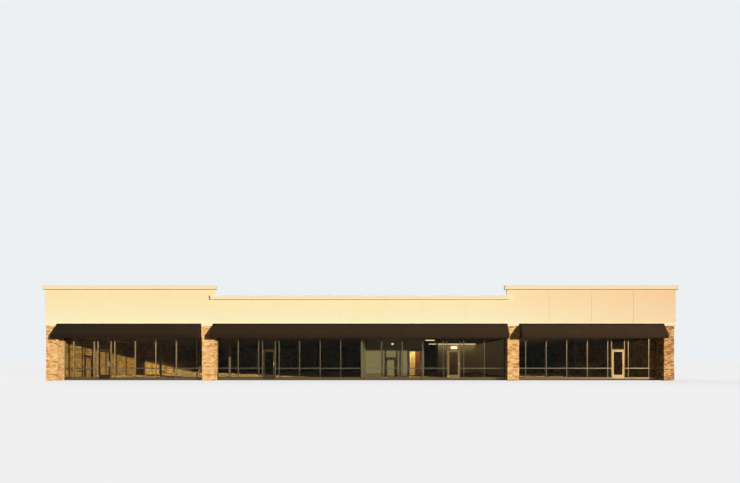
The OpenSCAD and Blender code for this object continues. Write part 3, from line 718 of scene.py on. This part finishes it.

# Cornice sealant
# A round bead of brown polyurethane sealant gunned into the corner under each cornice, where
# the foam moulding meets the wall. Its dark brown is painted shade: it draws the cornice's thin shadow
# line.

BEAD_R = 0.008
STUCCO_Y = -7.638
TOWER_OUT_X = 11.4545
TOWER_IN_X = 5.3285
RETURN_Y = -6.12
MIDDLE_TOP = 2.945
BEADS = (
    # one end and the other
    ((-TOWER_OUT_X, STUCCO_Y, STUCCO_HIGH), (-TOWER_IN_X, STUCCO_Y, STUCCO_HIGH)),
    ((TOWER_IN_X, STUCCO_Y, STUCCO_HIGH), (TOWER_OUT_X, STUCCO_Y, STUCCO_HIGH)),
    ((-TOWER_OUT_X, STUCCO_Y, STUCCO_HIGH), (-TOWER_OUT_X, RETURN_Y, STUCCO_HIGH)),
    ((TOWER_OUT_X, STUCCO_Y, STUCCO_HIGH), (TOWER_OUT_X, RETURN_Y, STUCCO_HIGH)),
    ((-TOWER_IN_X, STUCCO_Y, MIDDLE_TOP), (TOWER_IN_X, STUCCO_Y, MIDDLE_TOP)),
)

add, place = new_finish("sealant_as_painted_shade_line")
brown = mottled(add, place, 0.05, 4.0, "#6e4f2c", "#8c6a3e")
shade_line_sealant = add("BsdfPrincipled", {"Base Color": brown, "Roughness": 0.6})
add("OutputMaterial", {"Surface": shade_line_sealant})

bm = bmesh.new()
for start, end in BEADS:
    run = Vector(end) - Vector(start)
    turn = run.to_track_quat("Z", "Y").to_matrix().to_4x4()
    middle = (Vector(start) + Vector(end)) / 2 - Vector((0, 0, BEAD_R * 0.5))
    bmesh.ops.create_cone(bm, cap_ends=True, segments=12, radius1=BEAD_R, radius2=BEAD_R,
                          depth=run.length, matrix=Matrix.Translation(middle) @ turn)
beads = new_piece("cornice_sealant_shade_line", bm, "sealant_as_painted_shade_line", smooth=True)
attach(beads, "building")

# Awning frames
# Square aluminium tube, mitred and welded into ribs and long bars, and screwed to the wall
# through plates. It is mill finished: dull silver with the fine lines of extrusion.

add, place = new_finish("mill_aluminium_tube", "left_awning_frame", "middle_awning_frame",
                        "right_awning_frame")
lines = drawn_out(add, place, (0.03, 1.0, 1.0), 0.002, 2.0)
dull = add("MapRange", {"Value": lines, "To Min": 0.32, "To Max": 0.5})
metal = mottled(add, place, 0.08, 4.0, "#a9a59b", "#c2beb4")
tube = add("BsdfPrincipled", {"Base Color": metal, "Metallic": 1.0, "Roughness": dull})
add("OutputMaterial", {"Surface": tube})

# Awning covers
# Woven acrylic canvas in dark brown, sewn of 5 ft widths and laced over the frame: a slope,
# a short valance with a bound hem, and a gusset at each end. It dips between the ribs.

WALL_Y = -7.6623
GUSSET_Y = -7.6383
AWNING_Y = -8.027
AWNING_TOP = 2.062
FOLD_Z = 1.668
HEM_Z = 1.530
BAND_LOW = 1.990
LITE = 0.762
SAG = 0.007
FOLD_R = 0.014
CLOTH_T = 0.0010
SLOPE_STEPS, FOLD_STEPS, VALANCE_STEPS = 11, 4, 5
BAY_STEPS = 12
GUSSET_STEPS = 6
INWARD, DOWNWARD = 0.68, 0.73       # the way the slope sags, square to it
RIPPLE, RIPPLE_TURN, RIPPLE_START = 0.0018, 2.2, 0.7
GUSSET_DIP, DIP_ROWS = 0.004, 8
YARN_SCALE = 53.0
HEM_W = 0.022
AWNINGS = (
    ("left_awning", -11.0205, -5.7725),
    ("middle_awning", -5.3405, 5.3405),
    ("right_awning", 5.7725, 11.0205),
)

# Points of the cover's outer face from the wall down to the hem, as (y, z, looseness), which
# is 0 where the cloth lies on a bar and 1 where it is free to sag
top = Vector((WALL_Y, AWNING_TOP))
fold = Vector((AWNING_Y, FOLD_Z))
slope = (fold - top).normalized()
profile = []
for k in range(SLOPE_STEPS + 1):
    share = k / SLOPE_STEPS
    at = top + slope * ((fold - top).length - FOLD_R) * share
    profile.append((at.x, at.y, math.sin(math.pi * share)))
# The fold is a soft bend over the front bar
before = fold - slope * FOLD_R
after = fold - Vector((0, FOLD_R))
for k in range(1, FOLD_STEPS):
    share = k / FOLD_STEPS
    at = before.lerp(fold, share).lerp(fold.lerp(after, share), share)
    profile.append((at.x, at.y, 0.0))
low_z = FOLD_Z - FOLD_R
for k in range(VALANCE_STEPS + 1):
    profile.append((AWNING_Y, low_z + (HEM_Z - low_z) * k / VALANCE_STEPS, 0.0))
lengths = [0.0]
for (y_a, z_a, _), (y_b, z_b, _) in zip(profile, profile[1:]):
    lengths.append(lengths[-1] + math.hypot(y_b - y_a, z_b - z_a))
drop = lengths[-1]
valance = FOLD_Z - HEM_Z

add, place = new_finish("woven_acrylic_canvas")
# The cloth's own map is in metres: along the front, and down from the wall
cloth_at = add("UVMap", uv_map="cloth")
uv = add("SeparateXYZ", {"Vector": cloth_at})
# The yarn is 0.5 mm and is drawn at 3 mm
weft, warp = (add("TexWave", {"Vector": cloth_at, "Scale": YARN_SCALE, "Distortion": 0.6,
                              "Detail": 1.0}, bands_direction=axis) for axis in ("X", "Y"))
weave = add("Math", {0: weft.outputs["Fac"], 1: warp.outputs["Fac"]}, operation="MULTIPLY")
brown = mottled(add, place, 0.9, 4.0, "#392a1c", "#423021")
# Darker at the left end and lighter toward the right: a painted reflection of the low sun off the cloth
painted_sheen_drift = add("MapRange", {
    "Value": add("SeparateXYZ", {"Vector": place}).outputs["X"], "From Min": -11.0,
    "From Max": 9.0, "To Min": 0.47, "To Max": 1.12})
worn = add("Mix", {0: 1.0, 6: brown, 7: painted_sheen_drift}, **MULTIPLY)
# A flat seam 10 mm wide joins two widths over each rib. The valance is doubled, and is painted a little
# darker as painted shade, which evens its stronger light with the slope's
side = add("Math", {0: uv.outputs["X"], 1: LITE / 2}, operation="PINGPONG")
seam = add("MapRange", {
    "Value": side, "From Min": 0.004, "From Max": 0.006, "To Min": 1.0, "To Max": 0.0})
seamed = add("Mix", {0: seam, 6: worn, 7: "#d0d0d0"}, **MULTIPLY)
valance_shade_mask = add("Math", {0: uv.outputs["Y"], 1: drop - valance}, operation="GREATER_THAN")
valance_shaded = add("Mix", {0: valance_shade_mask, 6: seamed, 7: "#e4e4e4"}, **MULTIPLY)
# The hem is bound with a 22 mm strip of the same cloth, folded over, and painted near-black as painted
# shade: the dark line of shade along and under the hem
hem_shade_band = add("Math", {0: uv.outputs["Y"], 1: drop - HEM_W}, operation="GREATER_THAN")
painted_shade_hem = add("Mix", {0: hem_shade_band, 6: valance_shaded, 7: "#120d09"}, **BLEND)
lift = add("Math", {0: seam, 1: 2.0, 2: weave}, operation="MULTIPLY_ADD")
thread = add("Bump", {"Strength": 0.3, "Distance": 0.0008, "Height": lift})
cloth = add("BsdfPrincipled", {
    "Base Color": painted_shade_hem, "Roughness": 0.8, "Specular IOR Level": 0.12, "Normal": thread})
add("OutputMaterial", {"Surface": cloth})


def sew(bm, verts, where):
    """Writes each loop's place in the cut cloth, in metres, on the faces of these verts."""
    layer = bm.loops.layers.uv.verify()
    for face in {f for v in verts for f in v.link_faces}:
        for loop in face.loops:
            loop[layer].uv = where[loop.vert]


for name, x0, x1 in AWNINGS:
    ribs = round((x1 - x0) / LITE)
    rows = len(profile) - 1
    bm = bmesh.new()
    bm.loops.layers.uv.new("cloth")
    # Main sheet: a grid bent to the profile
    made = bmesh.ops.create_grid(bm, x_segments=ribs * BAY_STEPS, y_segments=rows, size=0.5)
    where = {}
    for vert in made["verts"]:
        across = vert.co.x + 0.5
        row = round((vert.co.y + 0.5) * rows)
        y, z, loose = profile[row]
        between = math.sin(math.pi * (across * ribs % 1.0)) ** 2 if 0.0 < across < 1.0 else 0.0
        sag = SAG * loose * between
        ripple = 0.0
        depth = 1 - (rows - row) / VALANCE_STEPS
        if depth > 0:
            ripple = RIPPLE * depth * between * math.sin(across * ribs * RIPPLE_TURN + RIPPLE_START)
        vert.co = Vector((x0 + (x1 - x0) * across, y + INWARD * sag + ripple, z - DOWNWARD * sag))
        where[vert] = (across * ribs * LITE, lengths[row])
    sew(bm, made["verts"], where)
    # End gussets: the same profile drawn back level to the wall
    for end_x, sign in ((x0, 1), (x1, -1)):
        made = bmesh.ops.create_grid(bm, x_segments=GUSSET_STEPS, y_segments=rows, size=0.5)
        where = {}
        for vert in made["verts"]:
            back = vert.co.x + 0.5
            row = round((vert.co.y + 0.5) * rows)
            y, z, loose = profile[row]
            wall = WALL_Y if z > BAND_LOW else GUSSET_Y
            dip = GUSSET_DIP * math.sin(math.pi * back) * min(1.0, row / DIP_ROWS)
            vert.co = Vector((end_x + sign * dip, y + (wall - y) * back, z))
            where[vert] = (0.5 * LITE + (y - wall) * (1.0 - back) * 0.9, drop - (z - HEM_Z))
        sew(bm, made["verts"], where)
    bmesh.ops.remove_doubles(bm, verts=bm.verts, dist=0.0002)
    bmesh.ops.dissolve_degenerate(bm, edges=bm.edges, dist=0.0001)
    bmesh.ops.recalc_face_normals(bm, faces=bm.faces)
    cover = new_piece(name + "_canvas", bm, "woven_acrylic_canvas", smooth=True)
    thick = cover.modifiers.new("cloth", "SOLIDIFY")
    thick.thickness = CLOTH_T
    thick.offset = -1.0
    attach(cover, "building")
    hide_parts(name + "_cover")

# Awning clamp bars
# A flat aluminium bar, powder coated near-black, screwed through the top edge of each cover
# into the wall bar. It holds the cloth, and keeps the rain from running in behind it.

CLAMP_W = 0.050
CLAMP_T = 0.012
CLAMP_AT = 0.017
SCREW_PITCH = 0.381
SCREW_R = 0.005
SCREW_HEAD = 0.0025
BAR_ROUND = 0.0012

add, place = new_finish("powder_coated_bar")
black = mottled(add, place, 0.2, 5.0, "#0b0806", "#17110c")
orange_peel = pitted(add, place, 0.003, 2.0, 0.2, 0.0004)
coat = add("BsdfPrincipled", {
    "Base Color": black, "Roughness": 0.55, "Specular IOR Level": 0.25, "Normal": orange_peel})
add("OutputMaterial", {"Surface": coat})

down = Vector((0, AWNING_Y - WALL_Y, FOLD_Z - AWNING_TOP)).normalized()
out = Vector((0, down.z, -down.y))
on_slope = Matrix((Vector((-1, 0, 0)), down, out)).transposed().to_4x4()
bm = bmesh.new()
for name, x0, x1 in AWNINGS:
    # The bar lies on the slope, its upper edge at the cloth's own
    middle = Vector(((x0 + x1) / 2, WALL_Y, AWNING_TOP)) + down * CLAMP_AT + out * (CLAMP_T / 2)
    ease(bm, edges_of(block(bm, middle, (x1 - x0, CLAMP_W, CLAMP_T), on_slope)), BAR_ROUND)
    count = round((x1 - x0) / SCREW_PITCH)
    for k in range(count):
        at = Vector((x0 + (k + 0.5) * (x1 - x0) / count, WALL_Y, AWNING_TOP))
        at += down * CLAMP_AT + out * (CLAMP_T + 0.001)
        bmesh.ops.create_cone(bm, cap_ends=True, segments=12, radius1=SCREW_R, radius2=SCREW_R * 0.6,
                              depth=SCREW_HEAD, matrix=Matrix.Translation(at) @ on_slope)
bars = new_piece("awning_clamp_bars", bm, "powder_coated_bar")
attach(bars, "building")

# Storefronts
# Extruded aluminium framing, anodised champagne bronze: sill, mullions, guard rail and head,
# with the glass held in pockets. Die lines run along each length and spread its highlight.

RAIL_BAND = (0.447, 0.0125)
ACROSS_BANDS = (
    # middle height and half height of the level members: sill, guard rail and head
    (0.055, 0.055), RAIL_BAND, (1.5625, 0.0125),
)
TRANSOM_BAND = (1.1395, 0.0155)
DOORWAYS = ((3.429, 0.231), (9.5395, 0.231))
GLINT_ALONG_FRONT = (
    # place along the front from 0, left, to 1, right, and the painted highlight and shade there
    (0.0, "#dde8ee"), (0.22, "#d8e2ea"), (0.32, "#9aa6b4"), (0.38, "#8c98a6"), (0.70, "#8c98a6"),
    (0.80, "#b8c4d0"), (1.0, "#ffffff"),
)


def within(add, value, bands):
    """1 where a value lies in one of some bands, each its middle and its half width."""
    found = 0.0
    for middle, half in bands:
        band = add("Math", {0: value, 1: middle, 2: half}, operation="COMPARE")
        found = add("Math", {0: found, 1: band}, operation="MAXIMUM")
    return found


def door_painted_glint(add, x):
    """Painted highlight and shade on the doors and their transoms: darker toward the left, where the
    sun's highlight on them fades.
    """
    return add("MapRange", {
        "Value": x, "From Min": -5.0, "From Max": 5.0, "To Min": 0.25, "To Max": 1.0})


add, place = new_finish("champagne_anodised_extrusion", "left_storefront_outer",
                        "left_storefront_inner", "middle_storefront_left", "middle_storefront_centre",
                        "middle_storefront_right", "right_storefront_inner", "right_storefront_outer",
                        "door_transoms", "door_thresholds", "door_stops")
x, _, z = add("SeparateXYZ", {"Vector": place}).outputs
level = within(add, z, ACROSS_BANDS)
# The transoms run only over the doors, which stand alike on both sides of the middle
reach = add("Math", {0: x}, operation="ABSOLUTE")
transom = within(add, z, [TRANSOM_BAND])
doorway = add("Math", {0: transom, 1: within(add, reach, DOORWAYS)}, operation="MULTIPLY")
level = add("Math", {0: level, 1: doorway}, operation="MAXIMUM")
upright = add("Math", {0: 1.0, 1: level}, operation="SUBTRACT")
# The highlight spreads across the die lines: level on an upright, and up and down on a rail
spread = add("CombineXYZ", {"X": upright, "Y": 0.15, "Z": level})
dye = mottled(add, place, 0.5, 2.0, "#6e5839", "#796343")
# Painted highlight and shade along the front, which show most on the uprights: the sun's glint on the
# bars, stronger in some bays than others
along = add("MapRange", {"Value": x, "From Min": -11.5, "From Max": 11.5})
painted_glint = add("ValToRGB", {"Fac": along}, stops=GLINT_ALONG_FRONT)
share = add("Math", {0: level, 1: -0.8, 2: 1.0}, operation="MULTIPLY_ADD")
glint_painted_dye = add("Mix", {0: share, 6: dye, 7: painted_glint}, **MULTIPLY)
guard = within(add, z, [RAIL_BAND])
greyed = add("Mix", {0: guard, 6: glint_painted_dye, 7: "#786f58"}, **BLEND)
matched = add("Mix", {0: doorway, 6: greyed, 7: door_painted_glint(add, x)}, **MULTIPLY)
die_lines = drawn_out(add, place, (1.0, 1.0, 0.02), 0.0015, 2.0)
satin = add("MapRange", {"Value": die_lines, "To Min": 0.43, "To Max": 0.49})
rolled = add("Math", {0: level, 1: -0.05, 2: satin}, operation="MULTIPLY_ADD")
stretch = add("Math", {0: level, 1: -0.6, 2: 1.0}, operation="MULTIPLY_ADD")
oxide = add("BsdfPrincipled", {
    "Base Color": matched, "Metallic": 1.0, "Roughness": rolled, "Anisotropic": stretch,
    "Tangent": spread})
add("OutputMaterial", {"Surface": oxide})

# Glass
# Grey-bronze tinted float glass, 1 in units at full size. It is polished and nearly black
# from outside by day, and the lit rooms behind it still show.

STOREFRONT_GLASS = ("left_glass_outer", "left_glass_inner", "middle_glass_left", "middle_glass_centre",
                    "middle_glass_right", "right_glass_inner", "right_glass_outer")
DOORS = ("left_door", "middle_left_door", "middle_right_door", "right_door")
GLASS_NODES = (*STOREFRONT_GLASS, "transom_glass", *(door + "_glass" for door in DOORS))

add, _ = new_finish("tinted_float_glass", *GLASS_NODES)
# The tint is in the glass, so it colours what is seen through it and not the reflection. A
# pane this thin doesn't bend the light, so its index is 1 and its coat gives the reflection
pane = add("BsdfPrincipled", {
    "Base Color": "#e2ded2", "Roughness": 0.0, "IOR": 1.0, "Transmission Weight": 1.0, "Coat Weight": 1.0,
    "Coat Roughness": 0.0, "Coat IOR": 1.15})
add("OutputMaterial", {"Surface": pane})
for name in GLASS_NODES:
    nodes[name].visible_shadow = False

# Glazing gaskets
# Black EPDM rubber pressed in between glass and metal round each pane, on both faces. It is
# matt, with a rounded lip, and draws a thin dark line inside every frame.

GASKET_W = 0.004
GASKET_T = 0.002
GASKET_ROUND = 0.0009
BITE = 0.006

add, place = new_finish("black_epdm_gasket")
black = mottled(add, place, 0.02, 4.0, "#141312", "#22201e")
lip = add("BsdfPrincipled", {"Base Color": black, "Roughness": 0.7, "Specular IOR Level": 0.3})
add("OutputMaterial", {"Surface": lip})


def pane_boxes(name):
    """The lowest and highest corner of each separate pane in a glass node."""
    copy = bmesh.new()
    copy.from_mesh(nodes[name].data)
    bmesh.ops.remove_doubles(copy, verts=copy.verts, dist=TOUCH)
    left = set(copy.verts)
    boxes = []
    while left:
        group = [left.pop()]
        for vert in group:
            for edge in vert.link_edges:
                other = edge.other_vert(vert)
                if other in left:
                    left.remove(other)
                    group.append(other)
        low = Vector(min(v.co[a] for v in group) for a in range(3))
        high = Vector(max(v.co[a] for v in group) for a in range(3))
        boxes.append((low, high))
    copy.free()
    return sorted(boxes, key=lambda pair: tuple(pair[0]))


def press_gaskets(bm, name, bite):
    """Adds a ring of gasket to both faces of each pane, inside the metal that holds it."""
    for low, high in pane_boxes(name):
        size = high - low
        for y, sign in ((low.y, -1), (high.y, 1)):
            at = Vector((low.x + size.x / 2, y, low.z + size.z / 2))
            made = bmesh.ops.create_grid(
                bm, x_segments=1, y_segments=1, size=0.5, matrix=Matrix.Translation(at)
                @ Matrix.Rotation(math.radians(-90 * sign), 4, "X")
                @ Matrix.Diagonal((size.x - 2 * bite, size.z - 2 * bite, 1, 1)))
            inside = made["verts"][0].link_faces[0]
            ring = bmesh.ops.inset_region(
                bm, faces=[inside], thickness=GASKET_W, use_boundary=True, use_even_offset=True)["faces"]
            bmesh.ops.delete(bm, geom=[inside], context="FACES_ONLY")
            # The ring faces away from the glass, is drawn out to its lip, and its rims are rounded
            drawn = bmesh.ops.extrude_face_region(bm, geom=ring, use_keep_orig=True)["geom"]
            bmesh.ops.translate(bm, verts=[v for v in drawn if isinstance(v, bmesh.types.BMVert)],
                                vec=(0, sign * GASKET_T, 0))
            lip = [f for f in drawn if isinstance(f, bmesh.types.BMFace)]
            rims = [e for e in dict.fromkeys(e for f in lip for e in f.edges)
                    if sum(f in lip for f in e.link_faces) == 1]
            ease(bm, rims, GASKET_ROUND)


for piece_name, body, panes in (
        ("storefront_gaskets", "building", [*((name, BITE) for name in STOREFRONT_GLASS),
                                            ("transom_glass", 0.0)]),
        *((door + "_gaskets", door, [(door + "_glass", 0.0)]) for door in DOORS)):
    bm = bmesh.new()
    for name, bite in panes:
        press_gaskets(bm, name, bite)
    gaskets = new_piece(piece_name, bm, "black_epdm_gasket")
    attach(gaskets, body)

# Doors
# Narrow-stile aluminium leaves with tubular pulls on both faces. The stiles are rolled in the
# same dye as the framing but brushed all over, so their highlight is round and narrow.

LEAF_Y = -7.174
LEAF_HALF = 0.0115

add, place = new_finish("champagne_anodised_leaf", *(door + "_leaf" for door in DOORS))
rub = add("TexNoise", {"Vector": place, "Scale": 1 / 0.02, "Detail": 4.0})
dye = mottled(add, place, 0.5, 2.0, "#765f3e", "#826b48")
x, y, _ = add("SeparateXYZ", {"Vector": place}).outputs
# The leaves take the same painted highlight and shade, darker toward the left
dye_and_painted_glint = add("Mix", {0: 1.0, 6: dye, 7: door_painted_glint(add, x)}, **MULTIPLY)
# The pulls stand off both faces, and hands have polished them pale
off = add("Math", {0: y, 1: LEAF_Y}, operation="SUBTRACT")
pull = add("Math", {0: add("Math", {0: off}, operation="ABSOLUTE"), 1: LEAF_HALF},
           operation="GREATER_THAN")
polished = add("Mix", {0: pull, 6: dye_and_painted_glint, 7: "#a89878"}, **BLEND)
satin = add("MapRange", {"Value": rub, "To Min": 0.37, "To Max": 0.43})
gloss = add("Math", {0: pull, 1: -0.12, 2: satin}, operation="MULTIPLY_ADD")
skin = add("BsdfPrincipled", {"Base Color": polished, "Metallic": 1.0, "Roughness": gloss})
add("OutputMaterial", {"Surface": skin})

# Door hardware
# Butt hinges of steel, plated in dark bronze, and a mortise lock cylinder through each leaf
# under its pull. The plating is rubbed thin where the knuckles turn.

CYLINDER_R = 0.009
CYLINDER_PROUD = 0.004
CYLINDER_Z = 0.485
CYLINDER_SIDES = 24
COLLAR_RIM = 0.002
DISH_EDGE, DISH_DEEP = 0.0008, 0.0012
PULL_X = (-9.349, -3.2385, 3.6195, 9.73)
LEAF_CAD_HALF = 0.011

add, place = new_finish("bronze_plated_steel", "door_hinges")
rub = add("TexNoise", {"Vector": place, "Scale": 1 / 0.002, "Detail": 3.0})
worn = add("MapRange", {"Value": rub, "To Min": 0.28, "To Max": 0.42})
steel = add("BsdfPrincipled", {"Base Color": "#5e4c36", "Metallic": 1.0, "Roughness": worn})
add("OutputMaterial", {"Surface": steel})

for door, pull_x in zip(DOORS, PULL_X):
    bm = bmesh.new()
    for sign in (-1, 1):
        at = Vector((pull_x, LEAF_Y + sign * (LEAF_CAD_HALF + CYLINDER_PROUD / 2), CYLINDER_Z))
        turn = Matrix.Rotation(math.radians(90 * sign), 4, "X")
        made = bmesh.ops.create_cone(
            bm, cap_ends=True, segments=CYLINDER_SIDES, radius1=CYLINDER_R, radius2=CYLINDER_R,
            depth=CYLINDER_PROUD, matrix=Matrix.Translation(at) @ turn)
        # The face is dished inside a raised rim, as a cylinder's collar is
        for face in {f for v in made["verts"] for f in v.link_faces}:
            if len(face.verts) == CYLINDER_SIDES and (face.calc_center_median().y - at.y) * sign > 0:
                bmesh.ops.inset_region(bm, faces=[face], thickness=COLLAR_RIM)
                bmesh.ops.inset_region(bm, faces=[face], thickness=DISH_EDGE, depth=-DISH_DEEP)
    bmesh.ops.recalc_face_normals(bm, faces=bm.faces)
    cylinders = new_piece(door + "_lock_cylinders", bm, "bronze_plated_steel")
    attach(cylinders, door)
